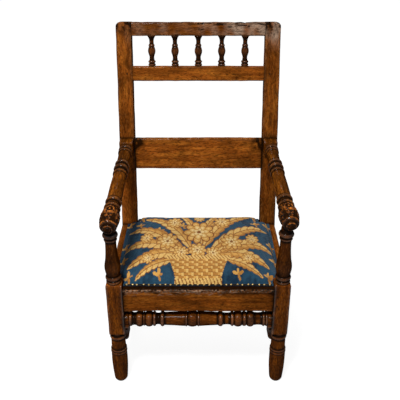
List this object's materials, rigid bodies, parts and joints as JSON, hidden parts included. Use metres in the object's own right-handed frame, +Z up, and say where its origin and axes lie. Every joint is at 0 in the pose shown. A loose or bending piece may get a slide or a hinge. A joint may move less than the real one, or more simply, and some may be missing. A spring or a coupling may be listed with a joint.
{
  "type": "armchair",
  "caption": "Joined walnut armchair with turned legs, arms and stretchers, a spindle back and a nailed needlework seat pad.",
  "frame": {"origin": "on the floor, at the middle of the chair's bounding box", "axes": "+Z up, the front of the chair faces -Y, +X is the viewer's right when facing the front"},
  "size_m": [0.586, 0.5672, 1.0883],
  "materials": {
    "walnut": "waxed, worn",
    "dark_walnut": "waxed, dark in the grooves",
    "peg_oak": "end grain, darkened",
    "needlework": "wool needlework",
    "hessian": "coarse plain weave",
    "stuffing": "matted fibre",
    "webbing": "jute strip",
    "brass": "worn domed nails on a dark strip"
  },
  "bodies": {
    "root": {"back_post_left": "walnut", "back_post_right": "walnut", "front_leg_left": "walnut", "front_leg_right": "walnut", "crest_rail": "walnut", "spindle_rail": "walnut", "back_rail": "walnut", "seat_rail_front": "walnut", "seat_rail_back": "walnut", "seat_rail_left": "walnut", "seat_rail_right": "walnut", "stretcher_back": "walnut", "spindle_1": "dark_walnut", "spindle_2": "dark_walnut", "spindle_3": "dark_walnut", "spindle_4": "dark_walnut", "spindle_5": "dark_walnut", "arm_left": "dark_walnut", "arm_right": "dark_walnut", "stretcher_front": "dark_walnut", "stretcher_left": "dark_walnut", "stretcher_right": "dark_walnut", "peg_crest_left": "peg_oak", "peg_spindle_rail_left": "peg_oak", "peg_back_rail_low_left": "peg_oak", "peg_back_rail_high_left": "peg_oak", "peg_side_rail_front_leg_left": "peg_oak", "peg_side_rail_back_post_left": "peg_oak", "peg_front_rail_low_left": "peg_oak", "peg_front_rail_high_left": "peg_oak", "peg_rear_rail_left": "peg_oak", "peg_stretcher_left": "peg_oak", "peg_arm_left": "peg_oak", "peg_crest_right": "peg_oak", "peg_spindle_rail_right": "peg_oak", "peg_back_rail_low_right": "peg_oak", "peg_back_rail_high_right": "peg_oak", "peg_side_rail_front_leg_right": "peg_oak", "peg_side_rail_back_post_right": "peg_oak", "peg_front_rail_low_right": "peg_oak", "peg_front_rail_high_right": "peg_oak", "peg_rear_rail_right": "peg_oak", "peg_stretcher_right": "peg_oak", "peg_arm_right": "peg_oak", "seat_webbing": "webbing", "seat_base_cloth": "hessian", "seat_stuffing": "stuffing", "seat_cover": "needlework", "nail_band_front": "brass"}
  },
  "joints": []
}
